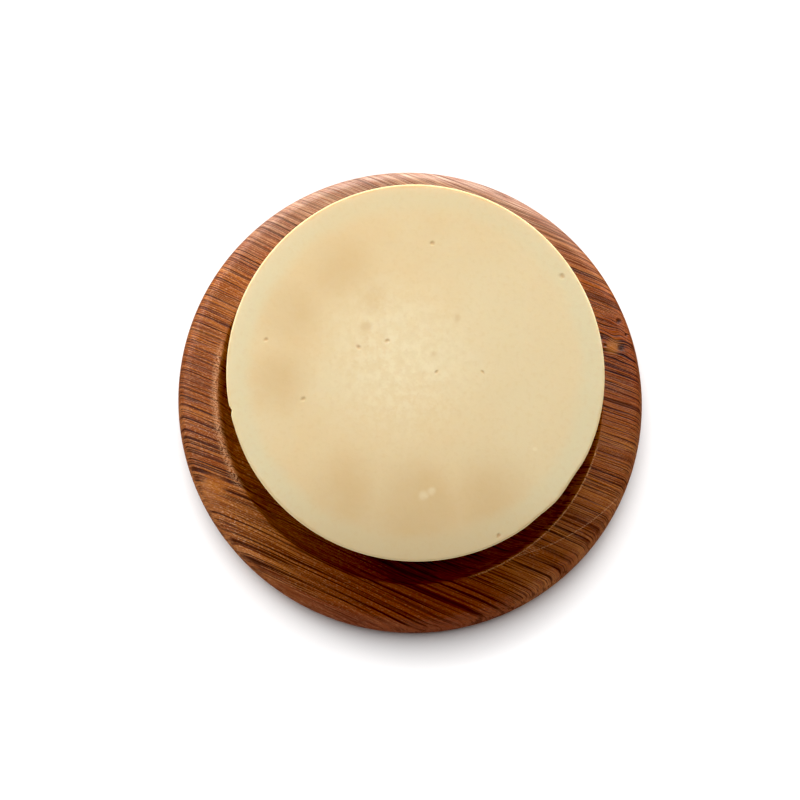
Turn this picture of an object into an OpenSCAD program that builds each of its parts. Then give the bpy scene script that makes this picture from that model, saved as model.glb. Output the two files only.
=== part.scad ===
// A round shaving soap puck seated in a low turned wooden bowl.
// The origin is the centre of the bowl's foot, with +Z up.
// Both pieces are turned shapes: each is one outline of radius and height, spun about its own axis.

/* [Bowl] */
// Widest diameter of the bowl
bowl_d = 100.8; // [98:0.2:108]
// Height of the bowl from its foot to the top of its rim
bowl_h = 30; // [28:0.5:33]
// Height of the widest point of the side
widest_z = 10.6; // [8:0.2:12]
// Radius of the slow curve of the side, in section
side_curve_r = 75; // [70:1:100]
// Radius of the roll from the side onto the rim, in section
rim_roll_r = 2.4; // [2:0.1:3.6]
// Diameter of the foot that the bowl stands on
foot_d = 74; // [60:1:80]
// Height of the foot below the curve of the underside
foot_step = 0.8; // [0.4:0.1:1.5]
// Diameter of the shallow hollow turned in the foot
hollow_d = 48; // [30:1:52]
// Depth of the hollow in the foot
hollow_depth = 1.2; // [0.5:0.1:2]

/* [Well] */
// Diameter of the mouth of the well
mouth_d = 81; // [80:0.1:81.6]
// Depth of the well below the top of the rim
well_depth = 10; // [9:0.5:12]
// Fall of the rim towards the mouth
rim_fall = 0.3; // [0:0.1:0.6]
// Width of the small bevel that eases the mouth
mouth_bevel = 0.4; // [0.2:0.1:0.6]
// Lean of the wall, in degrees from upright
wall_lean = 8.5; // [6:0.5:10]
// Radius of the cove between the wall and the floor of the well
cove_r = 5; // [4:0.5:6]

/* [Soap puck] */
// Widest diameter of the puck
puck_d = 77.2; // [75:0.1:77.4]
// Thickness of the puck
puck_h = 23.5; // [22:0.5:28]
// Radius of the shoulder between the top and the side
shoulder_r = 1; // [0.5:0.5:4]
// Radius of the heel between the side and the bottom
heel_r = 5; // [4:0.5:6]
// Draft of the side, in degrees from upright, narrower at the bottom
puck_draft = 8.5; // [7:0.5:10]
// Direction in which the puck sits off centre, in degrees from +X
seat_turn = 71; // [0:1:359]
// Gap left where the puck is nearest to the wall
seat_gap = 0.8; // [0.3:0.1:0.8]

/* [Hidden] */
$fn = 180;

bowl_r = bowl_d / 2;
foot_r = foot_d / 2;
hollow_r = hollow_d / 2;
mouth_r = mouth_d / 2;
mouth_z = bowl_h - rim_fall;
floor_z = bowl_h - well_depth;

// The roll onto the rim touches the slow curve of the side, so its centre lies on that curve's radius
roll_z = bowl_h - rim_roll_r;
roll_from = asin((roll_z - widest_z) / (side_curve_r - rim_roll_r));
roll_x = bowl_r - side_curve_r + (side_curve_r - rim_roll_r) * cos(roll_from);

// Radius of the leaning wall at a height above the floor of the well
function wall_radius(height) = mouth_r - (mouth_z - floor_z - height) * tan(wall_lean);
cove_x = wall_radius(cove_r * (1 - sin(wall_lean))) - cove_r * cos(wall_lean);

// Centre of the shoulder, and the radius of the drafted side at a height above the puck's bottom
puck_r = puck_d / 2;
shoulder_x = puck_r - shoulder_r;
shoulder_z = puck_h - shoulder_r;
side_top_r = shoulder_x + shoulder_r * cos(puck_draft);
side_top_z = shoulder_z - shoulder_r * sin(puck_draft);
function puck_side_radius(height) = side_top_r - (side_top_z - height) * tan(puck_draft);
heel_x = puck_side_radius(heel_r * (1 - sin(puck_draft))) - heel_r * cos(puck_draft);

// The puck is pushed across the well until its side is one gap short of the wall
seat_shift = min(mouth_r - puck_side_radius(mouth_z - floor_z), cove_x - heel_x) - seat_gap;

// Points of an upright elliptical arc, from one angle to another
function arc(centre, rx, rz, from, to, steps) = [
    for (i = [0 : steps])
        let (a = from + (to - from) * i / steps)
        centre + [rx * cos(a), rz * sin(a)]
];

// Outline of the bowl: foot, underside, side, rim, mouth, wall and floor of the well
bowl_outline = concat(
    [[0, hollow_depth], [hollow_r, hollow_depth], [hollow_r + hollow_depth, 0], [foot_r, 0]],
    arc([foot_r, widest_z], bowl_r - foot_r, widest_z - foot_step, -90, 0, 16),
    arc([bowl_r - side_curve_r, widest_z], side_curve_r, side_curve_r, roll_from / 6, roll_from, 5),
    arc([roll_x, roll_z], rim_roll_r, rim_roll_r, roll_from + 8, 90, 8),
    [[mouth_r + mouth_bevel, mouth_z], [wall_radius(mouth_z - floor_z - mouth_bevel), mouth_z - mouth_bevel]],
    arc([cove_x, floor_z + cove_r], cove_r, cove_r, -wall_lean, -90, 8),
    [[0, floor_z]]
);

// Outline of the puck: bottom, heel, drafted side, shoulder and top
puck_outline = concat(
    [[0, 0]],
    arc([heel_x, heel_r], heel_r, heel_r, -90, -puck_draft, 8),
    arc([shoulder_x, shoulder_z], shoulder_r, shoulder_r, -puck_draft, 0, 1),
    arc([shoulder_x, shoulder_z], shoulder_r, shoulder_r, 10, 90, 8),
    [[0, puck_h]]
);

// Low bowl turned from one piece of wood, standing on its foot
module wooden_bowl() {
    color("#9b5b32")
        rotate_extrude()
            polygon(bowl_outline);
}

// Hard cream soap, resting on the floor of the well and standing proud of the rim
module soap_puck() {
    color("#ead6aa")
        rotate([0, 0, seat_turn])
            translate([seat_shift, 0, floor_z])
                rotate_extrude()
                    polygon(puck_outline);
}

wooden_bowl();
soap_puck();
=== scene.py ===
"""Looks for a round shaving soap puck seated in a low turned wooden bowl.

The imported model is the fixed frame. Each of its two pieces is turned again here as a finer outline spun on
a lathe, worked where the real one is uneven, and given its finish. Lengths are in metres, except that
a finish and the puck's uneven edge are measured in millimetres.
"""

import logging
import math
from dataclasses import dataclass, field
from enum import Enum

import bmesh
import bpy
from mathutils import Matrix, Vector


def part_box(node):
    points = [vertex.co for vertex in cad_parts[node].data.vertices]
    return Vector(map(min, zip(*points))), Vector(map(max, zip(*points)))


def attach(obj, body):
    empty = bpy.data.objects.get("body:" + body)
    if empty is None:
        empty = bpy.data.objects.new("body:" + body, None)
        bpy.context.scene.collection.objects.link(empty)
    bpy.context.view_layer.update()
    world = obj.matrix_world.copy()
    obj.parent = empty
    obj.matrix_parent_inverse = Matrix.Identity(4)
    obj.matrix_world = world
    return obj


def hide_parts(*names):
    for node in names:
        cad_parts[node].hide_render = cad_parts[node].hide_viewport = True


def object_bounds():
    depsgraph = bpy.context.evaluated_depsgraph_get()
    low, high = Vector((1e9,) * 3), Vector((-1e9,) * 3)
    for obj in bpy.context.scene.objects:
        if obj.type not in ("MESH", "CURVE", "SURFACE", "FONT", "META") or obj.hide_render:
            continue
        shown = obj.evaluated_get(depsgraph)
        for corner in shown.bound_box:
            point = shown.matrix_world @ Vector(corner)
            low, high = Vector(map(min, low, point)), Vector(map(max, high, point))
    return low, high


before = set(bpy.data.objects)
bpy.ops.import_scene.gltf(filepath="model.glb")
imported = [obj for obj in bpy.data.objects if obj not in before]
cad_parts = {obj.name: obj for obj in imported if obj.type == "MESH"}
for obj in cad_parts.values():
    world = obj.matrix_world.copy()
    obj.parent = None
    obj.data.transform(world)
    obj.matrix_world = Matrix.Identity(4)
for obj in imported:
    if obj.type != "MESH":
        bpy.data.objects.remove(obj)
cad_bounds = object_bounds()

LOG = logging.getLogger("soap_and_bowl")
MM = 0.001
MERGE_DISTANCE = 0.0005 * MM


class Body(Enum):
    """The bodies of the frame that a piece can ride on."""

    BOWL = "bowl"
    PUCK = "puck"


class Node(Enum):
    """The CAD nodes that the pieces stand for."""

    BOWL = "wooden_bowl"
    PUCK = "soap_puck"


class Slot(Enum):
    """The record's material slots."""

    WOOD = "turned_wood"
    SOAP = "shaving_soap"


def tone(red: int, green: int, blue: int) -> tuple[float, float, float, float]:
    """Turns a display colour into a linear one.

    Args:
        red: Red, from 0 to 255.
        green: Green, from 0 to 255.
        blue: Blue, from 0 to 255.

    Returns:
        The linear colour with an alpha of 1.
    """
    shares = [part / 255 for part in (red, green, blue)]
    linear = [share / 12.92 if share <= 0.04045 else ((share + 0.055) / 1.055) ** 2.4 for share in shares]
    return (*linear, 1.0)


# --------------------------------------------------------------------------------------------------
# Node trees, written as arithmetic
# --------------------------------------------------------------------------------------------------


class Wire:
    """An output socket that takes part in arithmetic, adding the nodes that the sum needs as it goes."""

    def __init__(self, bench: "Bench", socket: bpy.types.NodeSocket) -> None:
        """Keeps the bench that adds nodes, and the socket."""
        self.bench = bench
        self.socket = socket

    def _sum(self, operation: str, *terms: object) -> "Wire":
        """Adds a Math node, or a Vector Math node where a term is a vector.

        Args:
            operation: The sum's name.
            terms: The wires, numbers or tuples that it takes, in order.

        Returns:
            The result.
        """
        wires = [term for term in terms if isinstance(term, Wire)]
        vectors = any(wire.is_vector for wire in wires) or any(isinstance(term, tuple) for term in terms)
        kind = "ShaderNodeVectorMath" if vectors else "ShaderNodeMath"
        return self.bench.add(kind, {"operation": operation}, dict(enumerate(terms)))

    @property
    def is_vector(self) -> bool:
        """Whether the socket carries a vector."""
        return self.socket.type == "VECTOR"

    def __add__(self, other: object) -> "Wire":
        """Adds."""
        return self._sum("ADD", self, other)

    __radd__ = __add__

    def __sub__(self, other: object) -> "Wire":
        """Takes the other from this."""
        return self._sum("SUBTRACT", self, other)

    def __rsub__(self, other: object) -> "Wire":
        """Takes this from the other."""
        return self._sum("SUBTRACT", other, self)

    def __mul__(self, other: object) -> "Wire":
        """Multiplies."""
        return self._sum("MULTIPLY", self, other)

    __rmul__ = __mul__

    def __truediv__(self, other: object) -> "Wire":
        """Divides this by the other."""
        return self._sum("DIVIDE", self, other)

    def size(self) -> "Wire":
        """Distance from zero: a number's absolute value, or a vector's length."""
        if not self.is_vector:
            return self._sum("ABSOLUTE", self)
        return self.bench.add("ShaderNodeVectorMath", {"operation": "LENGTH"}, {0: self}, 1)

    def wave(self) -> "Wire":
        """Sine."""
        return self._sum("SINE", self)

    def most(self, other: object) -> "Wire":
        """The larger of the two."""
        return self._sum("MAXIMUM", self, other)

    def rise(self, low: float, high: float) -> "Wire":
        """Goes smoothly from 0 at low to 1 at high."""
        return self.bench.ramp(self, low, high, 0.0, 1.0)

    def fall(self, low: float, high: float) -> "Wire":
        """Goes smoothly from 1 at low to 0 at high."""
        return self.bench.ramp(self, low, high, 1.0, 0.0)

    def near(self, middle: float, reach: float) -> "Wire":
        """A smooth hump: 1 at middle, and 0 from reach away."""
        return (self - middle).size().fall(0.0, reach)


class Bench:
    """The node tree of one material."""

    def __init__(self, name: str) -> None:
        """Makes the material and finds its shader."""
        self.material = bpy.data.materials.new(name)
        self.material.use_nodes = True
        self.tree = self.material.node_tree
        self.shader = self.tree.nodes["Principled BSDF"]

    def feed(self, socket: bpy.types.NodeSocket, value: object) -> None:
        """Links a wire to a socket, or sets the socket's own value.

        Args:
            socket: The input socket.
            value: A wire, a tuple, or a number, which a vector socket takes for all three parts.
        """
        if isinstance(value, Wire):
            self.tree.links.new(value.socket, socket)
        elif socket.type == "VECTOR" and not isinstance(value, tuple):
            socket.default_value = (value, value, value)
        else:
            socket.default_value = value

    def add(
        self, kind: str, settings: dict[str, object], values: dict[int | str, object], out: int = 0
    ) -> Wire:
        """Adds a node.

        Args:
            kind: The node's type.
            settings: The node's own properties, which are set first.
            values: What each input socket gets, by its place or name: a wire, a number or a tuple.
            out: The place of the output to take.

        Returns:
            The output as a wire.
        """
        node = self.tree.nodes.new(kind)
        for name, setting in settings.items():
            setattr(node, name, setting)
        for key, value in values.items():
            self.feed(node.inputs[key], value)
        return Wire(self, node.outputs[out])

    def ramp(self, value: Wire, low: float, high: float, start: float, end: float) -> Wire:
        """Goes smoothly from start, where the value is low, to end, where it is high."""
        places = {0: value, 1: low, 2: high, 3: start, 4: end}
        return self.add("ShaderNodeMapRange", {"interpolation_type": "SMOOTHSTEP"}, places)

    def place_mm(self, centre: tuple[float, float, float] = (0.0, 0.0, 0.0)) -> Wire:
        """The point on the piece in millimetres, from a centre given in metres."""
        point = self.add("ShaderNodeTexCoord", {}, {}, 3)
        return (point - centre) * (1000.0, 1000.0, 1000.0)

    def turned(self, point: Wire, degrees: float) -> Wire:
        """Turns a point about Z."""
        turn = (0.0, 0.0, math.radians(degrees))
        return self.add("ShaderNodeMapping", {"vector_type": "POINT"}, {"Vector": point, "Rotation": turn})

    def parts(self, point: Wire) -> tuple[Wire, Wire, Wire]:
        """Splits a vector into its three parts."""
        first = self.add("ShaderNodeSeparateXYZ", {}, {0: point})
        outputs = first.socket.node.outputs
        return first, Wire(self, outputs[1]), Wire(self, outputs[2])

    def joined(self, x: object, y: object, z: object) -> Wire:
        """Makes a vector of three parts."""
        return self.add("ShaderNodeCombineXYZ", {}, {0: x, 1: y, 2: z})

    def noise(self, point: Wire, detail: float = 2.0, roughness: float = 0.5) -> Wire:
        """Soft noise of about one feature per unit, from 0 to 1."""
        values = {"Vector": point, "Scale": 1.0, "Detail": detail, "Roughness": roughness}
        return self.add("ShaderNodeTexNoise", {}, values)

    def tinted_noise(self, point: Wire, density: float) -> Wire:
        """Soft noise in three parts that differ, as a colour."""
        return self.add("ShaderNodeTexNoise", {}, {"Vector": point, "Scale": density, "Detail": 2.0}, 1)

    def cells(self, point: Wire) -> Wire:
        """Distance to the nearest of a field of scattered points, about one per unit."""
        return self.add("ShaderNodeTexVoronoi", {}, {"Vector": point, "Scale": 1.0, "Randomness": 1.0})

    def dot(self, first: Wire, second: object) -> Wire:
        """How far one vector goes along another."""
        return self.add("ShaderNodeVectorMath", {"operation": "DOT_PRODUCT"}, {0: first, 1: second}, 1)

    def mix(self, share: object, first: object, second: object) -> Wire:
        """Mixes two colours."""
        return self.add("ShaderNodeMix", {"data_type": "RGBA"}, {0: share, 6: first, 7: second}, 2)

    def relief(self, height: Wire, depth_mm: float) -> Wire:
        """Bump of a given depth from a height of 0 to 1."""
        return self.add("ShaderNodeBump", {}, {"Strength": 1.0, "Distance": depth_mm * MM, "Height": height})

    def dress(self, **sockets: object) -> bpy.types.Material:
        """Feeds the shader's sockets.

        Args:
            sockets: What each socket gets, by its name with underscores for spaces.

        Returns:
            The material.
        """
        for name, value in sockets.items():
            self.feed(self.shader.inputs[name.replace("_", " ")], value)
        return self.material


# --------------------------------------------------------------------------------------------------
# The lathe
# --------------------------------------------------------------------------------------------------


class Outline:
    """A half section in the XZ plane, drawn with straight moves and arcs, that a lathe spins about Z."""

    def __init__(self, radius: float, height: float) -> None:
        """Starts the line at a radius and a height."""
        self.mesh = bmesh.new()
        self.tip = self.mesh.verts.new((radius, 0.0, height))

    def line(self, radius: float, height: float, steps: int = 1) -> "Outline":
        """Draws straight on from the tip.

        Args:
            radius: Radius of the line's end.
            height: Height of the line's end.
            steps: How many equal steps the line takes.

        Returns:
            The outline.
        """
        start = self.tip.co.copy()
        end = Vector((radius, 0.0, height))
        for step in range(1, steps + 1):
            self.tip = bmesh.ops.extrude_vert_indiv(self.mesh, verts=[self.tip])["verts"][0]
            self.tip.co = start.lerp(end, step / steps)
        return self

    def arc(self, centre: tuple[float, float], degrees: float, steps: int, widen: float = 1.0) -> "Outline":
        """Draws an arc on from the tip.

        Args:
            centre: Radius and height of the arc's centre.
            degrees: The turn, positive from outwards to upwards.
            steps: How many equal steps the turn takes.
            widen: Stretch of the arc along the radius, about its centre.

        Returns:
            The outline.
        """
        drawn = len(self.mesh.verts)
        middle = Vector((centre[0], 0.0, centre[1]))
        turn = math.radians(degrees)
        spun = bmesh.ops.spin(
            self.mesh, geom=[self.tip], cent=middle, axis=(0.0, -1.0, 0.0), angle=turn, steps=steps
        )
        self.tip = next(item for item in spun["geom_last"] if isinstance(item, bmesh.types.BMVert))
        self.mesh.verts.ensure_lookup_table()
        fresh = self.mesh.verts[drawn:]
        bmesh.ops.scale(self.mesh, vec=(widen, 1.0, 1.0), space=Matrix.Translation(-middle), verts=fresh)
        return self

    def spun(self, steps: int) -> bmesh.types.BMesh:
        """Spins the outline into a closed solid whose faces point outwards.

        Args:
            steps: How many steps the full turn takes.

        Returns:
            The solid's mesh.
        """
        mesh = self.mesh
        geometry = [*mesh.verts, *mesh.edges]
        bmesh.ops.spin(
            mesh, geom=geometry, cent=(0, 0, 0), axis=(0, 0, 1), angle=math.tau, steps=steps, use_merge=True
        )
        bmesh.ops.remove_doubles(mesh, verts=mesh.verts, dist=MERGE_DISTANCE)
        bmesh.ops.recalc_face_normals(mesh, faces=mesh.faces)
        return mesh


def ease_edges(mesh: bmesh.types.BMesh, width: float, sharpest_kept: float = 25.0) -> None:
    """Rounds every edge that turns by more than an angle.

    Args:
        mesh: The closed mesh.
        width: Width of the rounding.
        sharpest_kept: The turn, in degrees, up to which an edge is left alone.
    """
    limit = math.radians(sharpest_kept)
    sharp = [edge for edge in mesh.edges if len(edge.link_faces) == 2 and edge.calc_face_angle() > limit]
    bmesh.ops.bevel(
        mesh,
        geom=sharp,
        offset=width,
        segments=3,
        profile=0.5,
        affect="EDGES",
        material=-1,
        clamp_overlap=True,
    )


@dataclass
class Piece:
    """A finished piece of the object, and what it stands for in the frame."""

    name: str
    body: Body
    node: Node
    slot: Slot

    def place(self, mesh: bmesh.types.BMesh, finish: bpy.types.Material) -> bpy.types.Object:
        """Makes the scene object and ties it to the frame.

        Args:
            mesh: The finished mesh, already where it belongs.
            finish: The material.

        Returns:
            The object, at the origin.
        """
        for face in mesh.faces:
            face.smooth = True
        data = bpy.data.meshes.new(self.name)
        mesh.to_mesh(data)
        mesh.free()
        data.materials.append(finish)
        piece = bpy.data.objects.new(self.name, data)
        bpy.context.scene.collection.objects.link(piece)
        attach(piece, self.body.value)
        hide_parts(self.node.value)
        LOG.info("%s: %d faces on body %s", self.name, len(data.polygons), self.body.value)
        return piece


# --------------------------------------------------------------------------------------------------
# Finishes
# --------------------------------------------------------------------------------------------------


@dataclass(frozen=True)
class GrainFrame:
    """How the board lies in the bowl: the grain's turn in plan, and how far the wood has shrunk across it."""

    turn: float = 23.0
    shrink: float = 0.016

    @property
    def across_scale(self) -> float:
        """Size across the grain, as a share of the size along it."""
        return 1.0 - self.shrink


@dataclass(frozen=True)
class Layer:
    """A layer of noise: its features in a millimetre on each axis, and the values it fades in between."""

    density: tuple[float, float, float]
    fade: tuple[float, float] = (0.40, 0.60)
    start: tuple[float, float, float] = (0.0, 0.0, 0.0)
    detail: float = 2.0
    roughness: float = 0.5

    def raw(self, bench: Bench, point: Wire) -> Wire:
        """The noise itself, from 0 to 1."""
        return bench.noise(point * self.density + self.start, self.detail, self.roughness)

    def mask(self, bench: Bench, point: Wire) -> Wire:
        """The noise, faded in between its two values."""
        return self.raw(bench, point).rise(*self.fade)


@dataclass(frozen=True)
class Mark:
    """A small round mark: its place in millimetres, how far it is solid, and how far it reaches."""

    x: float
    y: float
    solid: float
    reach: float

    def on(self, flat: Wire) -> Wire:
        """Gives the mark's mask over a flattened point."""
        return (flat - (self.x, self.y, 0.0)).size().fall(self.solid, self.reach)


def together(flat: Wire, marks: tuple[Mark, ...]) -> Wire:
    """Joins the masks of several marks into one.

    Args:
        flat: The flattened point.
        marks: The marks.

    Returns:
        The mask, which is 1 where any mark is solid.
    """
    joined = marks[0].on(flat)
    for mark in marks[1:]:
        joined = joined.most(mark.on(flat))
    return joined


@dataclass(frozen=True)
class Arc:
    """A line along a stretch of a circle.

    Its middle, radius and half width are in millimetres, and the directions that it spans are in degrees.
    """

    x: float
    y: float
    radius: float
    facing: float
    half_span: float
    half_width: float
    solid_share: float = 0.8

    def on(self, bench: Bench, flat: Wire) -> Wire:
        """Gives the mask of the line, which is soft to the sides and at its ends.

        Args:
            bench: The bench that adds the nodes.
            flat: The flattened point.

        Returns:
            The mask.
        """
        arm = flat - (self.x, self.y, 0.0)
        length = arm.size()
        turn = math.radians(self.facing)
        ahead = bench.dot(arm, (math.cos(turn), math.sin(turn), 0.0)) / length
        edge = math.cos(math.radians(self.half_span))
        inside = math.cos(math.radians(self.half_span * self.solid_share))
        return length.near(self.radius, self.half_width) * ahead.rise(edge, inside)


@dataclass(frozen=True)
class WornGlintStretch:
    """A stretch of the mouth's edge that is worn pale and carries a painted highlight.

    It faces a direction in degrees from the grain, fades in between two cosines of the angle off it, lies a
    little outside the mouth, and reaches some way to each side, in millimetres.
    """

    facing: float
    fade: tuple[float, float]
    outside: float
    reach: float

    def on(self, ahead: Wire, aside: Wire, past_mouth: Wire) -> Wire:
        """Gives the stretch's mask.

        Args:
            ahead: Cosine of the point's direction from the grain.
            aside: Sine of it.
            past_mouth: How far out from the mouth the point is, in millimetres.

        Returns:
            The mask.
        """
        turn = math.radians(self.facing)
        facing = (ahead * math.cos(turn) + aside * math.sin(turn)).rise(*self.fade)
        return past_mouth.near(self.outside, self.reach) * facing


class BowlPoint:
    """A point on the bowl in millimetres, as the wires that the parts of the wood's finish share."""

    def __init__(self, bench: Bench, wood: "TurnedWood") -> None:
        """Measures the point from the bowl's axis, and along and across the grain.

        Args:
            bench: The bench that adds the nodes.
            wood: The wood, which says how its grain lies and how high its rim is.
        """
        point = bench.place_mm()
        self.block = bench.turned(point, wood.grain.turn)
        self.along, self.across, self.up = bench.parts(self.block)
        self.x, self.y, _ = bench.parts(point)
        self.flat = bench.joined(self.x, self.y, 0.0)
        self.radius = bench.joined(self.along, self.across / wood.grain.across_scale, 0.0).size()
        self.rim = self.below(wood.rim_height, wood.rim_depths)

    def below(self, height: float, depths: tuple[float, float]) -> Wire:
        """Fades in between two depths below a height, the deeper one first."""
        return self.up.rise(height - depths[0], height - depths[1])


@dataclass(frozen=True)
class WoodCoats:
    """How far each coat of the wood's colour covers those beneath it, from 0 to 1."""

    # painted shade at the near side of the bowl, deepening the soap's shadow
    near_shade: float = 0.75
    knot_shade: float = 0.50
    far_sheen: float = 0.52
    # painted sheen: the far outer rim is mixed towards a pale grey tone in place of reflected light
    fibres: float = 0.65
    flecks: float = 0.16
    # painted glints: more pale flecks towards -X and at the listed glint spots
    left_glints: float = 0.22
    painted_glint_flecks: float = 0.35
    lines: float = 0.90
    pores: float = 0.25
    busy_pores: float = 0.60
    knot_glow: float = 0.70
    pits: float = 0.92
    # wear on the mouth's edge with a painted highlight, and the scratch
    wear_and_glint: float = 0.80


@dataclass(frozen=True)
class LineStrength:
    """How strongly the dark lines show: the least between groups and on the side, and each gain or loss."""

    between_groups: float = 0.68
    side: float = 0.65
    knot_gain: float = 0.25
    clear_loss: float = 0.90
    # the dark lines are weakened under the painted sheen on the far rim
    far_sheen_loss: float = 0.45


@dataclass(frozen=True)
class WoodHeights:
    """How far each part of the wood stands up or is cut in, as a share of the relief."""

    fibres: float = 0.35
    painted_glints: float = 0.40
    fine_lines: float = 0.40
    bold_lines: float = 0.70
    pores: float = 0.80
    pits: float = 2.5
    wear_and_glint: float = 0.30
    tool_rings: float = 0.25


@dataclass(frozen=True)
class TurnedWood:
    """Oiled reddish-brown hardwood with straight grain, fine dark pore lines and paler bands."""

    grain: GrainFrame
    mouth_radius: float
    rim_height: float
    well_floor: float

    pale: tuple[float, ...] = tone(182, 113, 52)
    brown: tuple[float, ...] = tone(160, 90, 36)
    red: tuple[float, ...] = tone(128, 50, 18)
    dark: tuple[float, ...] = tone(84, 29, 12)
    pore: tuple[float, ...] = tone(48, 12, 6)
    # pale tone of real wear and ray flecks, also used for painted glints and the painted highlight on the
    # mouth's edge
    wear_and_glint: tuple[float, ...] = tone(220, 164, 120)
    # pale grey tone of the painted sheen on the far rim
    sheen_tone: tuple[float, ...] = tone(190, 182, 168)
    coats: WoodCoats = WoodCoats()
    lines: LineStrength = LineStrength()
    heights: WoodHeights = WoodHeights()
    relief: float = 0.09
    roughness: float = 0.42
    open_roughness: float = 0.15

    rim_depths: tuple[float, float] = (4.0, 2.0)
    upper_depths: tuple[float, float] = (7.0, 2.5)
    plain_depth: float = 3.2
    side_ease: float = 8.0
    side_stretch: float = 0.3

    sway: Layer = Layer((0.014, 0.030, 0.030), detail=1.0)
    sway_width: float = 6.0
    swirl: Layer = Layer((0.16, 0.30, 0.30), detail=1.0)
    swirl_width: float = 0.2
    knot_swirl_width: float = 3.5
    bands: Layer = Layer((0.012, 0.15, 0.08), (0.38, 0.62), roughness=0.6)
    groups: Layer = Layer((0.020, 0.22, 0.12), (0.38, 0.54), (3.0, 8.0, 1.0))
    fine_lines: Layer = Layer((0.026, 4.4, 1.3), (0.48, 0.58), roughness=0.55)
    bold_lines: Layer = Layer((0.020, 2.3, 0.7), (0.54, 0.585), (9.0, 4.0, 2.0))
    fibres: Layer = Layer((0.14, 8.0, 4.0), (0.42, 0.58), roughness=0.6)
    flecks: Layer = Layer((1.5, 4.6, 4.0), (0.52, 0.64), (7.0, 3.0, 5.0), roughness=0.6)
    dashes: Layer = Layer((2.2, 4.4, 3.4), (0.44, 0.54), (1.0, 9.0, 2.0), detail=1.0)
    pore_density: tuple[float, float, float] = (0.075, 1.9, 0.9)
    pore_start: tuple[float, float, float] = (5.0, 2.0, 4.0)
    pore_fade: tuple[float, float] = (0.06, 0.24)

    knot: Mark = Mark(43.0, 11.5, 0.5, 6.5)
    knot_glow: Mark = Mark(42.6, 9.9, 0.3, 2.4)
    knot_shade: Mark = Mark(46.0, 8.0, 4.0, 20.0)
    clear_patch: Mark = Mark(-41.1, -19.6, 1.0, 4.0)
    pits: tuple[Mark, ...] = (
        Mark(43.9, 15.3, 0.1, 0.9),
        Mark(44.3, 9.6, 0.2, 1.1),
        Mark(40.2, 11.7, 0.1, 0.6),
        Mark(45.4, 12.4, 0.0, 0.5),
        Mark(41.0, 10.2, 0.0, 0.6),
    )
    # painted glints: spots where pale flecks are thickened to stand in for glints of light
    painted_glints: tuple[Mark, ...] = (
        Mark(-42.3, -9.5, 1.0, 5.0),
        Mark(-36.0, -29.0, 2.0, 11.0),
        Mark(24.7, -31.9, 0.5, 3.5),
    )
    scratch: Arc = Arc(12.0, 8.2, 43.4, -60.0, 20.0, 0.20)
    # the stretches of the mouth's edge carry a painted highlight as well as wear
    crisp_edge: WornGlintStretch = WornGlintStretch(-21.0, (0.86, 0.90), 0.18, 0.28)
    rough_edge: WornGlintStretch = WornGlintStretch(211.0, (0.90, 0.95), 0.5, 1.3)
    scratch_share: float = 0.60
    rough_edge_share: float = 0.80

    # where the painted sheen on the far rim fades in along +Y, and how far out from the mouth
    far_sheen_from: tuple[float, float] = (22.0, 44.0)
    far_sheen_reach: float = 4.0
    # the painted shade on the near side: where it fades in along -Y, and between which X it lies
    near_shade_from: tuple[float, float] = (12.0, 44.0)
    near_shade_left: tuple[float, float] = (-36.0, -8.0)
    near_shade_right: tuple[float, float] = (6.0, 36.0)
    # where the painted glints fade in towards -X
    left_glint_fade: tuple[float, float] = (-30.0, 10.0)

    tool_pitch: float = 7.5
    tool_foot: tuple[float, float] = (1.3, 1.6)
    tool_reach: float = 0.8

    def made(self) -> bpy.types.Material:
        """Builds the material.

        Returns:
            The material.
        """
        coats, heights = self.coats, self.heights
        bench = Bench("oiled_turned_wood")
        spot = BowlPoint(bench, self)
        cut = self.cut(bench, spot)

        shade = self.knot_shade.on(spot.flat) * spot.rim
        far_sheen = self.far_sheen(spot)
        busy = self.busy(bench, spot, cut, far_sheen) + shade * self.lines.knot_gain
        fine = self.fine_lines.mask(bench, cut)
        bold = self.bold_lines.mask(bench, cut)
        pores = bench.cells(cut * self.pore_density + self.pore_start).fall(*self.pore_fade)
        fibres = self.fibres.raw(bench, cut)
        flecks = self.flecks.mask(bench, cut)
        painted_glints = together(spot.flat, self.painted_glints) * spot.rim
        pits = together(spot.flat, self.pits) * spot.rim
        wear_and_glint = self.wear_and_glint_places(bench, spot, cut)

        colour = bench.mix(self.bands.mask(bench, cut), self.brown, self.pale)
        # painted shade: the near side mixed darker and redder; the darker patch round the knot goes in with
        # it
        colour = bench.mix((self.near_shade(spot) * coats.near_shade).most(shade * coats.knot_shade), colour, self.red)
        # painted sheen on the far outer rim
        colour = bench.mix(far_sheen * coats.far_sheen, colour, self.sheen_tone)
        colour = bench.mix(fibres.rise(*self.fibres.fade) * coats.fibres, colour, self.red)
        # painted glints: pale flecks thickened towards -X and at the glint spots, over the real ray flecks
        left = spot.x.fall(*self.left_glint_fade)
        flecks_and_glints = coats.flecks + left * coats.left_glints + painted_glints * coats.painted_glint_flecks
        colour = bench.mix(flecks * flecks_and_glints, colour, self.wear_and_glint)
        colour = bench.mix(fine * busy * coats.lines, colour, self.dark)
        colour = bench.mix(bold * busy * coats.lines, colour, self.pore)
        colour = bench.mix(pores * (coats.pores + busy * coats.busy_pores), colour, self.pore)
        glow = self.knot_glow.on(spot.flat) * spot.rim
        colour = bench.mix(glow * coats.knot_glow, colour, self.pale)
        colour = bench.mix(pits * coats.pits, colour, self.pore)
        # the mouth's edge worn pale with a painted highlight, and the scratch
        colour = bench.mix(wear_and_glint * coats.wear_and_glint, colour, self.wear_and_glint)

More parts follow.
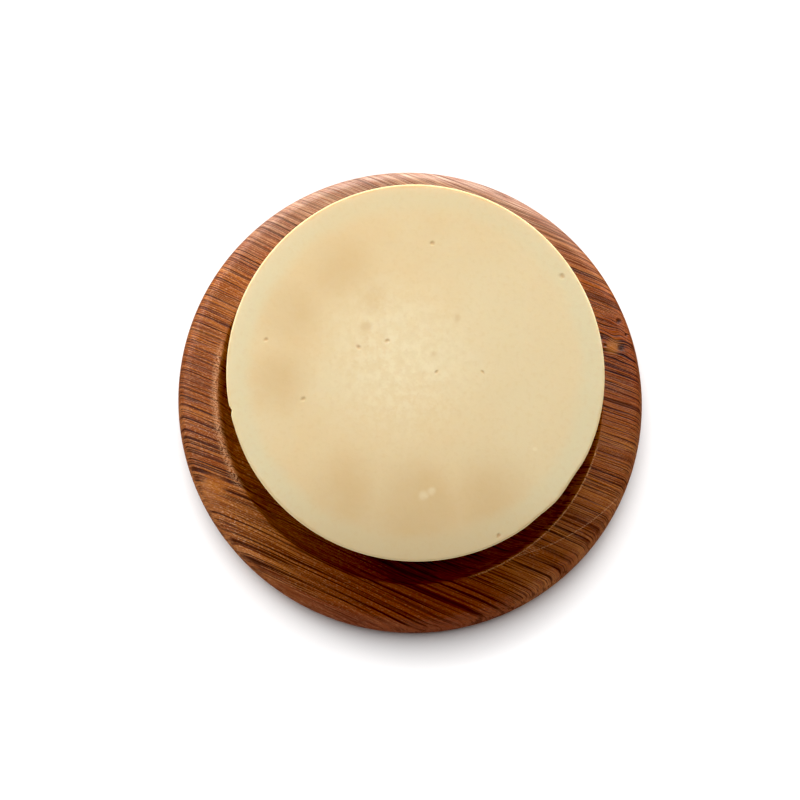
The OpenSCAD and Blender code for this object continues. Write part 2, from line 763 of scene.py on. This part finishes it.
        height = fibres * heights.fibres + flecks * painted_glints * heights.painted_glints
        height = height - (fine * heights.fine_lines + bold * heights.bold_lines) * busy
        height = height - pores * heights.pores - pits * heights.pits
        height = height + self.tool_rings(spot) * heights.tool_rings + wear_and_glint * heights.wear_and_glint
        return bench.dress(
            Base_Color=colour,
            Roughness=self.roughness + (bold + pores) * self.open_roughness,
            Normal=bench.relief(height, self.relief),
            IOR=1.5,
            Specular_IOR_Level=0.25,
        )

    def cut(self, bench: Bench, spot: BowlPoint) -> Wire:
        """Finds the point in the board that the grain is read at.

        The grain sways slowly along its length and swirls at the knot. Down the side and into the well the
        pattern changes ever faster with depth, so that the rim's lines run over the edge without a break.

        Args:
            bench: The bench that adds the nodes.
            spot: The point on the bowl.

        Returns:
            The point along, across and up the board.
        """
        knot = self.knot.on(spot.flat) * spot.rim
        sway = (self.sway.raw(bench, spot.block) - 0.5) * self.sway_width
        swirl = (self.swirl.raw(bench, spot.block) - 0.5) * (self.swirl_width + knot * self.knot_swirl_width)
        drop = (self.rim_height - self.plain_depth - spot.up).most(0.0)
        depth = drop * drop / (drop + self.side_ease) * self.side_stretch
        return bench.joined(spot.along, spot.across + sway + swirl, depth)

    def busy(self, bench: Bench, spot: BowlPoint, cut: Wire, far_sheen: Wire) -> Wire:
        """Says how strongly the dark lines show, apart from the shade by the knot.

        Args:
            bench: The bench that adds the nodes.
            spot: The point on the bowl.
            cut: The point in the board.
            far_sheen: The mask of the painted sheen on the rim's far outer stretch, which washes the lines
                out.

        Returns:
            The strength, from 0 to 1.
        """
        least, side = self.lines.between_groups, self.lines.side
        grouped = least + self.groups.mask(bench, cut) * (1.0 - least)
        clear = self.clear_patch.on(spot.flat) * spot.rim
        upper = spot.below(self.rim_height, self.upper_depths)
        kept = (1.0 - clear * self.lines.clear_loss) * (1.0 - far_sheen * self.lines.far_sheen_loss)
        return grouped * kept * (side + upper * (1.0 - side))

    def far_sheen(self, spot: BowlPoint) -> Wire:
        """Masks the outer far side of the rim, where a painted sheen turns the wood pale and greyish."""
        outer = spot.radius.rise(self.mouth_radius, self.mouth_radius + self.far_sheen_reach)
        return spot.y.rise(*self.far_sheen_from) * outer * spot.rim

    def near_shade(self, spot: BowlPoint) -> Wire:
        """Masks a painted shade at the near side, darker and redder, deepening the soap's shadow there."""
        between = spot.x.rise(*self.near_shade_left) * spot.x.fall(*self.near_shade_right)
        return (spot.y * -1.0).rise(*self.near_shade_from) * between

    def wear_and_glint_places(self, bench: Bench, spot: BowlPoint, cut: Wire) -> Wire:
        """Masks the two stretches of the mouth's edge, worn pale with a painted highlight along them, and the
        scratch, all of them broken into dashes.

        Args:
            bench: The bench that adds the nodes.
            spot: The point on the bowl.
            cut: The point in the board.

        Returns:
            The mask.
        """
        ahead, aside = spot.along / spot.radius, spot.across / spot.radius
        past_mouth = spot.radius - self.mouth_radius
        crisp = self.crisp_edge.on(ahead, aside, past_mouth)
        rough = self.rough_edge.on(ahead, aside, past_mouth)
        edge = crisp.most(rough * self.rough_edge_share)
        scratch = self.scratch.on(bench, spot.flat) * self.scratch_share
        return edge.most(scratch) * self.dashes.mask(bench, cut) * spot.rim

    def tool_rings(self, spot: BowlPoint) -> Wire:
        """Fine rings that the turning tool left under the foot and on the floor of the well."""
        turned = spot.up.fall(*self.tool_foot) + spot.up.near(self.well_floor, self.tool_reach)
        return (spot.radius * self.tool_pitch).wave() * turned


@dataclass(frozen=True)
class SoapCoats:
    """How far each coat of the soap's colour covers those beneath it, from 0 to 1."""

    washes: float = 0.60
    clouds: float = 0.40
    cool_side: float = 0.70
    patches: float = 0.30
    cloudy_patches: float = 0.60
    ash: float = 0.45
    ash_crystals: float = 0.50
    crystal_gaps: float = 0.14
    rind: float = 0.70
    # painted shade: the top darker towards -Y and towards +Y
    near_top_shade: float = 0.45
    far_top_shade: float = 0.30
    # painted shade along the top edge, toning down its lit line
    edge_shade: float = 0.50
    smears: float = 0.60
    blots: float = 0.22
    specks: float = 0.50
    grains: float = 0.16


@dataclass(frozen=True)
class SoapHeights:
    """How far each part of the soap's skin stands up or is sunk, as a share of the relief."""

    grains: float = 0.50
    crystals: float = 0.60
    specks: float = 1.5
    clouds: float = 1.5


@dataclass(frozen=True)
class HardSoap:
    """Cream hard soap with a paler rind round its top, tan patches, soda-ash mottling and small specks."""

    centre: tuple[float, float, float]
    radius: float

    cream: tuple[float, ...] = tone(221, 202, 161)
    warm: tuple[float, ...] = tone(221, 196, 151)
    tan: tuple[float, ...] = tone(208, 178, 130)
    rind: tuple[float, ...] = tone(215, 204, 167)
    ash: tuple[float, ...] = tone(230, 214, 176)
    speck: tuple[float, ...] = tone(178, 128, 72)
    coats: SoapCoats = SoapCoats()
    heights: SoapHeights = SoapHeights()
    relief: float = 0.05
    roughness: float = 0.65
    ash_roughness: float = 0.10
    glow_depth: float = 2.0

    drift_density: float = 0.35
    drift_width: float = 1.4
    clouds: Layer = Layer((0.09, 0.09, 0.09), detail=3.0, roughness=0.55)
    washes: Layer = Layer((0.04, 0.04, 0.04), start=(2.0, 5.0, 3.0))
    grains: Layer = Layer((0.85, 0.85, 0.85), (0.48, 0.70), detail=3.0, roughness=0.6)
    crystals: Layer = Layer((0.50, 0.50, 0.50), (0.42, 0.62), (4.0, 7.0, 1.0), detail=4.0, roughness=0.62)
    crystal_gaps: tuple[float, float] = (0.32, 0.46)

    ash_patch: Mark = Mark(-3.0, 2.0, 1.0, 24.0)
    patches: tuple[Mark, ...] = (
        Mark(-15.5, 20.5, 1.0, 11.0),
        Mark(-9.0, 15.0, 0.5, 5.0),
        Mark(-25.0, 12.0, 0.5, 11.0),
        Mark(-28.0, -2.0, 0.5, 10.0),
        Mark(0.0, -27.0, 3.0, 13.0),
        Mark(-14.0, -25.0, 1.0, 12.0),
        Mark(15.0, -25.0, 1.0, 12.0),
    )
    specks: tuple[Mark, ...] = (
        Mark(3.5, 26.4, 0.10, 0.75),
        Mark(-22.8, -5.6, 0.05, 0.80),
        Mark(-30.5, 6.4, 0.05, 0.70),
        Mark(-11.7, 4.8, 0.0, 0.70),
        Mark(-5.8, 6.2, 0.0, 0.60),
        Mark(29.9, 19.5, 0.0, 0.75),
        Mark(16.8, -33.6, 0.1, 0.70),
        Mark(13.6, -0.3, 0.0, 0.55),
        Mark(4.5, -0.3, 0.0, 0.50),
    )
    blots: tuple[Mark, ...] = (
        Mark(-10.1, 9.1, 0.2, 1.9),
        Mark(3.5, 3.4, 0.0, 1.0),
        Mark(8.5, 11.0, 0.0, 1.3),
    )
    smears: tuple[Mark, ...] = (
        Mark(1.6, -25.4, 0.2, 1.6),
        Mark(3.2, -24.6, 0.1, 1.4),
        Mark(24.1, -16.0, 0.2, 0.7),
    )

    top_levels: tuple[float, float] = (-4.0, -1.0)
    # where the painted shade along the top edge lies: its heights and insets
    edge_shade_levels: tuple[float, float] = (-1.0, -0.3)
    edge_shade_insets: tuple[float, float] = (0.8, 0.1)
    rind_insets: tuple[float, float] = (6.5, 2.8)
    rind_waver: float = 3.0
    cool_side: tuple[float, float] = (4.0, 22.0)
    # where the painted shade on the top fades in towards -Y and towards +Y
    near_top_shade: tuple[float, float] = (20.0, 38.0)
    far_top_shade: tuple[float, float] = (12.0, 38.0)

    def made(self) -> bpy.types.Material:
        """Builds the material.

        Returns:
            The material.
        """
        coats, heights = self.coats, self.heights
        bench = Bench("hard_cream_soap")
        point = bench.place_mm(self.centre)
        x, y, z = bench.parts(point)
        flat = self.drifted(bench, point, x, y)
        clouds = self.clouds.raw(bench, point)
        grains = self.grains.raw(bench, point)
        crystals = self.crystals.raw(bench, point)
        top = z.rise(*self.top_levels)
        ash = self.ash_patch.on(flat) * top
        specks = together(flat, self.specks) * top

        cool = x.rise(*self.cool_side) * coats.cool_side
        cloudy = self.washes.mask(bench, point) * coats.washes + clouds.rise(*self.clouds.fade) * coats.clouds
        colour = bench.mix(cloudy * (1.0 - cool), self.cream, self.warm)
        patches = together(flat, self.patches) * top
        colour = bench.mix(patches * (coats.patches + clouds * coats.cloudy_patches), colour, self.tan)
        ashen = ash * (coats.ash + crystals.rise(*self.crystals.fade) * coats.ash_crystals)
        colour = bench.mix(ashen, colour, self.ash)
        colour = bench.mix(crystals.fall(*self.crystal_gaps) * ash * coats.crystal_gaps, colour, self.warm)
        reach = flat.size() + (clouds - 0.5) * self.rind_waver
        colour = bench.mix(self.within(reach, self.rind_insets) * coats.rind, colour, self.rind)
        # painted shade along the top edge, toning down its lit line
        edge_shade = self.within(flat.size(), self.edge_shade_insets) * z.rise(*self.edge_shade_levels)
        # painted shade: the top mixed towards tan towards -Y and towards +Y
        painted_shade = (y * -1.0).rise(*self.near_top_shade) * coats.near_top_shade + y.rise(*self.far_top_shade) * coats.far_top_shade
        colour = bench.mix(painted_shade + edge_shade * coats.edge_shade, colour, self.tan)
        colour = bench.mix(together(flat, self.smears) * top * coats.smears, colour, self.ash)
        colour = bench.mix(together(flat, self.blots) * top * coats.blots, colour, self.speck)
        colour = bench.mix(specks * coats.specks, colour, self.speck)
        colour = bench.mix(grains.rise(*self.grains.fade) * coats.grains, colour, self.tan)

        height = grains * heights.grains + crystals * ash * heights.crystals
        height = height - specks * heights.specks + clouds * heights.clouds
        return bench.dress(
            Base_Color=colour,
            Roughness=self.roughness + ash * self.ash_roughness,
            Normal=bench.relief(height, self.relief),
            Subsurface_Weight=0.35,
            Subsurface_Radius=(1.0, 0.7, 0.4),
            Subsurface_Scale=self.glow_depth * MM,
            IOR=1.46,
            Specular_IOR_Level=0.05,
        )

    def drifted(self, bench: Bench, point: Wire, x: Wire, y: Wire) -> Wire:
        """Flattens the point and drifts it a little, so that round marks come out uneven.

        Args:
            bench: The bench that adds the nodes.
            point: The point, measured from the middle of the puck's top.
            x: Its first part.
            y: Its second part.

        Returns:
            The flattened point.
        """
        drift = bench.tinted_noise(point, self.drift_density)
        aside, ahead, _ = bench.parts(drift)
        return bench.joined(x + (aside - 0.5) * self.drift_width, y + (ahead - 0.5) * self.drift_width, 0.0)

    def within(self, reach: Wire, insets: tuple[float, float]) -> Wire:
        """Fades in between two insets from the puck's edge, the deeper one first."""
        return reach.rise(self.radius - insets[0], self.radius - insets[1])


# --------------------------------------------------------------------------------------------------
# Pieces
# --------------------------------------------------------------------------------------------------


@dataclass
class WoodenBowl:
    """The low turned bowl: foot, rounded side, wide rim and shallow well."""

    grain: GrainFrame = field(default_factory=GrainFrame)
    widest_height: float = 10.6 * MM
    side_curve: float = 75 * MM
    rim_roll: float = 2.4 * MM
    foot_radius: float = 37 * MM
    foot_step: float = 0.8 * MM
    hollow_radius: float = 24 * MM
    hollow_depth: float = 1.2 * MM
    mouth_radius: float = 40.5 * MM
    rim_fall: float = 0.3 * MM
    wall_lean: float = 8.5
    cove: float = 5 * MM
    edge_ease: float = 0.22 * MM
    turns: int = 360

    def __post_init__(self) -> None:
        """Takes the outer size from the CAD bowl, and the floor of the well from where the puck rests."""
        low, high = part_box(Node.BOWL.value)
        self.radius = (high.x - low.x) / 2
        self.height = high.z
        self.well_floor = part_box(Node.PUCK.value)[0].z

    def outline(self) -> Outline:
        """Draws the bowl's half section.

        Returns:
            The outline, from the middle of the foot round to the middle of the well.
        """
        foot, widest, roll = self.foot_radius, self.widest_height, self.rim_roll
        underside = widest - self.foot_step
        roll_height = self.height - roll
        reach = math.degrees(math.asin((roll_height - widest) / (self.side_curve - roll)))
        side_centre = (self.radius - self.side_curve, widest)
        roll_centre = (side_centre[0] + (self.side_curve - roll) * math.cos(math.radians(reach)), roll_height)
        lean = math.radians(self.wall_lean)
        mouth_height = self.height - self.rim_fall
        cove_top = self.well_floor + self.cove * (1 - math.sin(lean))
        wall_foot = self.mouth_radius - (mouth_height - cove_top) * math.tan(lean)
        cove_centre = (wall_foot - self.cove * math.cos(lean), self.well_floor + self.cove)

        drawn = Outline(0.0, self.hollow_depth)
        drawn.line(self.hollow_radius, self.hollow_depth, 24)
        drawn.line(self.hollow_radius + self.hollow_depth, 0.0, 2)
        drawn.line(foot, 0.0, 12).line(foot, self.foot_step)
        drawn.arc((foot, widest), 90, 24, (self.radius - foot) / underside)
        drawn.arc(side_centre, reach, 16).arc(roll_centre, 90 - reach, 16)
        drawn.line(self.mouth_radius, mouth_height, 6).line(wall_foot, cove_top, 8)
        drawn.arc(cove_centre, self.wall_lean - 90, 12).line(0.0, self.well_floor, 34)
        return drawn

    def made(self) -> bpy.types.Object:
        """Turns the bowl, lets it shrink across the grain, and finishes it.

        Returns:
            The piece.
        """
        mesh = self.outline().spun(self.turns)
        ease_edges(mesh, self.edge_ease)
        to_grain = Matrix.Rotation(math.radians(self.grain.turn), 4, "Z")
        bmesh.ops.scale(mesh, vec=(1.0, self.grain.across_scale, 1.0), space=to_grain, verts=mesh.verts)
        finish = TurnedWood(self.grain, self.mouth_radius / MM, self.height / MM, self.well_floor / MM)
        return Piece("turned_bowl", Body.BOWL, Node.BOWL, Slot.WOOD).place(mesh, finish.made())


@dataclass(frozen=True)
class Swelling:
    """A stretch where the puck's edge stands out, or in where its height is below 0.

    Its height is in millimetres, and its facing and half width are in degrees.
    """

    height: float
    facing: float
    half_width: float

    def at(self, turn: float) -> float:
        """How far the edge stands out at a turn in degrees, fading smoothly away from the facing."""
        away = (turn - self.facing + 180.0) % 360.0 - 180.0
        return self.height * math.exp(-((away / self.half_width) ** 2))


@dataclass
class SoapPuck:
    """The soap: a thick disc with an eased top edge, drafted side, rounded heel and hand-cut outline."""

    shoulder: float = 0.4 * MM
    heel: float = 5 * MM
    draft: float = 8.5
    inner_top: float = 0.7
    turns: int = 480

    oval: float = 0.14
    oval_facing: float = 111.0
    three_sided: float = -0.117
    nick: Swelling = Swelling(-0.40, -168.0, 0.9)
    waves: tuple[Swelling, ...] = (
        Swelling(-0.10, -161.0, 6.0),
        Swelling(-0.28, -34.0, 4.5),
        Swelling(0.06, -43.0, 2.5),
        Swelling(-0.18, -50.0, 4.0),
    )
    swell_from: float = 0.4
    swell_over: float = 0.45
    swell_power: int = 3

    crown: float = 0.08 * MM
    crown_power: int = 8
    near_wear: float = 1.1 * MM
    near_wear_power: int = 4
    wear_from: float = 0.6

    def __post_init__(self) -> None:
        """Takes the puck's place and size from the CAD puck."""
        self.low, self.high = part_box(Node.PUCK.value)
        self.radius = (self.high.x - self.low.x) / 2
        self.middle = (self.low + self.high) / 2

    def outline(self) -> Outline:
        """Draws the puck's half section.

        Returns:
            The outline, from the middle of the bottom to the middle of the top.
        """
        lean = math.radians(self.draft)
        bottom, top = self.low.z, self.high.z
        shoulder_centre = (self.radius - self.shoulder, top - self.shoulder)
        side_top = shoulder_centre[0] + self.shoulder * math.cos(lean)
        side_top_height = shoulder_centre[1] - self.shoulder * math.sin(lean)
        heel_top = bottom + self.heel * (1 - math.sin(lean))
        side_foot = side_top - (side_top_height - heel_top) * math.tan(lean)
        heel_centre = (side_foot - self.heel * math.cos(lean), bottom + self.heel)

        drawn = Outline(0.0, bottom)
        drawn.line(heel_centre[0], bottom, 12).arc(heel_centre, 90 - self.draft, 10)
        drawn.line(side_top, side_top_height, 16).arc(shoulder_centre, 90 + self.draft, 12)
        drawn.line(self.radius * self.inner_top, top, 20).line(0.0, top, 20)
        return drawn

    def swell(self, turn: float) -> float:
        """Works out how far the top edge stands out of round.

        Args:
            turn: The direction, in radians from +X.

        Returns:
            The distance, below 0 where the edge stands in.
        """
        round_shape = self.oval * math.cos(2 * (turn - math.radians(self.oval_facing)))
        round_shape += self.three_sided * math.sin(3 * turn)
        uneven = sum(swelling.at(math.degrees(turn)) for swelling in (self.nick, *self.waves))
        return (round_shape + uneven) * MM

    def weather(self, mesh: bmesh.types.BMesh) -> None:
        """Pushes the upper side out of round, and wears the top down at its edge and towards -Y.

        Args:
            mesh: The round puck, still centred on the Z axis.
        """
        bottom, top = self.low.z, self.high.z
        for vertex in mesh.verts:
            reach = math.hypot(vertex.co.x, vertex.co.y)
            if reach < MERGE_DISTANCE:
                continue
            height = (vertex.co.z - bottom) / (top - bottom)
            share = min(1.0, max(0.0, (height - self.swell_from) / self.swell_over))
            share *= (reach / self.radius) ** self.swell_power
            grown = 1.0 + self.swell(math.atan2(vertex.co.y, vertex.co.x)) * share / reach
            vertex.co.x *= grown
            vertex.co.y *= grown
            wear = self.crown * (reach / self.radius) ** self.crown_power
            wear += self.near_wear * max(0.0, -vertex.co.y / self.radius) ** self.near_wear_power
            vertex.co.z -= wear * max(0.0, (height - self.wear_from) / (1.0 - self.wear_from))

    def made(self) -> bpy.types.Object:
        """Casts the puck, weathers it and finishes it.

        Returns:
            The piece.
        """
        mesh = self.outline().spun(self.turns)
        self.weather(mesh)
        bmesh.ops.translate(mesh, vec=(self.middle.x, self.middle.y, 0.0), verts=mesh.verts)
        finish = HardSoap((self.middle.x, self.middle.y, self.high.z), self.radius / MM)
        return Piece("shaving_soap_puck", Body.PUCK, Node.PUCK, Slot.SOAP).place(mesh, finish.made())


# --------------------------------------------------------------------------------------------------
# Studio
# --------------------------------------------------------------------------------------------------


def direction(azimuth: float, elevation: float) -> Vector:
    """Unit vector at an azimuth, anticlockwise from +X, and an elevation, both in degrees."""
    turn, rise = math.radians(azimuth), math.radians(elevation)
    return Vector((math.cos(rise) * math.cos(turn), math.cos(rise) * math.sin(turn), math.sin(rise)))


@dataclass(frozen=True)
class Softbox:
    """A rectangular soft light that faces the object, and may be kept out of its reflections."""

    name: str
    azimuth: float
    elevation: float
    distance: float
    width: float
    height: float
    level: float
    shows: bool = True

    @property
    def watts(self) -> float:
        """Power that lights a level white surface at the target to the light's level."""
        return self.level * (math.pi * self.distance) ** 2 / math.sin(math.radians(self.elevation))

    def hang(self, target: Vector) -> bpy.types.Object:
        """Hangs the light and turns it to its target.

        Args:
            target: The point that it faces.

        Returns:
            The light.
        """
        lamp = bpy.data.lights.new(self.name, "AREA")
        lamp.shape = "RECTANGLE"
        lamp.size, lamp.size_y = self.width, self.height
        lamp.energy = self.watts
        light = bpy.data.objects.new(self.name, lamp)
        away = direction(self.azimuth, self.elevation)
        light.location = target + away * self.distance
        light.rotation_euler = away.to_track_quat("Z", "Y").to_euler()
        light.visible_camera = False
        light.visible_glossy = self.shows
        bpy.context.scene.collection.objects.link(light)
        return light


@dataclass(frozen=True)
class Camera:
    """A camera almost straight above, tipped a little towards -Y."""

    aim: tuple[float, float, float] = (-2.16 * MM, 0.05 * MM, 18 * MM)
    tip: float = 7.0
    distance: float = 0.45
    lens: float = 94.05
    nearest: float = 0.01
    farthest: float = 20.0

    def set_up(self) -> None:
        """Places the camera and makes it the scene's."""
        data = bpy.data.cameras.new("camera")
        data.lens = self.lens
        data.clip_start, data.clip_end = self.nearest, self.farthest
        camera = bpy.data.objects.new("camera", data)
        away = direction(-90.0, 90.0 - self.tip)
        camera.location = Vector(self.aim) + away * self.distance
        camera.rotation_euler = away.to_track_quat("Z", "Y").to_euler()
        bpy.context.scene.collection.objects.link(camera)
        bpy.context.scene.camera = camera


@dataclass(frozen=True)
class Studio:
    """A pale floor, soft lights and an even pale sky."""

    floor_size: float = 6.0
    floor_tone: tuple[float, ...] = tone(240, 240, 240)
    floor_roughness: float = 0.9
    sky: float = 0.02
    black: float = 0.009
    lights: tuple[Softbox, ...] = (
        Softbox("far_window", 90.0, 14.0, 0.9, 0.5, 0.5, 0.45),
        Softbox("far_near_window", 90.0, 24.0, 0.45, 0.32, 0.32, 0.07),
        Softbox("far_left", 135.0, 36.0, 0.45, 0.32, 0.32, 0.27),
        Softbox("far_right", 45.0, 18.0, 0.45, 0.32, 0.32, 0.18),
        Softbox("left", 165.0, 20.0, 0.45, 0.32, 0.32, 0.15),
        Softbox("near_left", 215.0, 18.0, 0.45, 0.32, 0.32, 0.11, False),
        Softbox("near_right", 310.0, 18.0, 0.45, 0.32, 0.32, 0.10, False),
        Softbox("right", 5.0, 18.0, 0.45, 0.32, 0.32, 0.03, False),
    )
    floor_light: Softbox = Softbox("floor_light", 105.0, 80.0, 4.0, 1.7, 1.7, 1.36)

    def lay_floor(self) -> bpy.types.Object:
        """Lays the floor, which isn't part of the object and stays out of its reflections.

        Returns:
            The floor.
        """
        mesh = bmesh.new()
        bmesh.ops.create_grid(mesh, x_segments=1, y_segments=1, size=self.floor_size / 2)
        data = bpy.data.meshes.new("floor")
        mesh.to_mesh(data)
        mesh.free()
        bench = Bench("pale_floor")
        data.materials.append(bench.dress(Base_Color=self.floor_tone, Roughness=self.floor_roughness))
        floor = bpy.data.objects.new("floor", data)
        bpy.context.scene.collection.objects.link(floor)
        floor.visible_glossy = False
        return floor

    def set_up(self, target: Vector, pieces: list[bpy.types.Object]) -> None:
        """Lays the floor, hangs the lights and sets the sky.

        Args:
            target: The point that the lights face.
            pieces: The pieces that the object's lights shine on; the floor has a light of its own.
        """
        scene = bpy.context.scene
        floor = self.lay_floor()
        lit = bpy.data.collections.new("object_only")
        for piece in pieces:
            lit.objects.link(piece)
        for light in self.lights:
            light.hang(target).light_linking.receiver_collection = lit
        floor_only = bpy.data.collections.new("floor_only")
        floor_only.objects.link(floor)
        self.floor_light.hang(target).light_linking.receiver_collection = floor_only
        scene.world = bpy.data.worlds.new("sky")
        scene.world.use_nodes = True
        background = scene.world.node_tree.nodes["Background"]
        background.inputs["Color"].default_value = (1.0, 1.0, 1.0, 1.0)
        background.inputs["Strength"].default_value = self.sky
        view = scene.view_settings
        view.view_transform = "Standard"
        view.use_curve_mapping = True
        view.curve_mapping.black_level = (self.black,) * 3
        view.curve_mapping.update()
        LOG.info("studio: %d lights", len(self.lights))


def main() -> None:
    """Builds the camera, the pieces and the studio in order."""
    logging.basicConfig(level=logging.INFO, format="%(message)s")
    Camera().set_up()
    pieces = [WoodenBowl().made(), SoapPuck().made()]
    Studio().set_up((cad_bounds[0] + cad_bounds[1]) / 2, pieces)


if __name__ == "__main__":
    main()
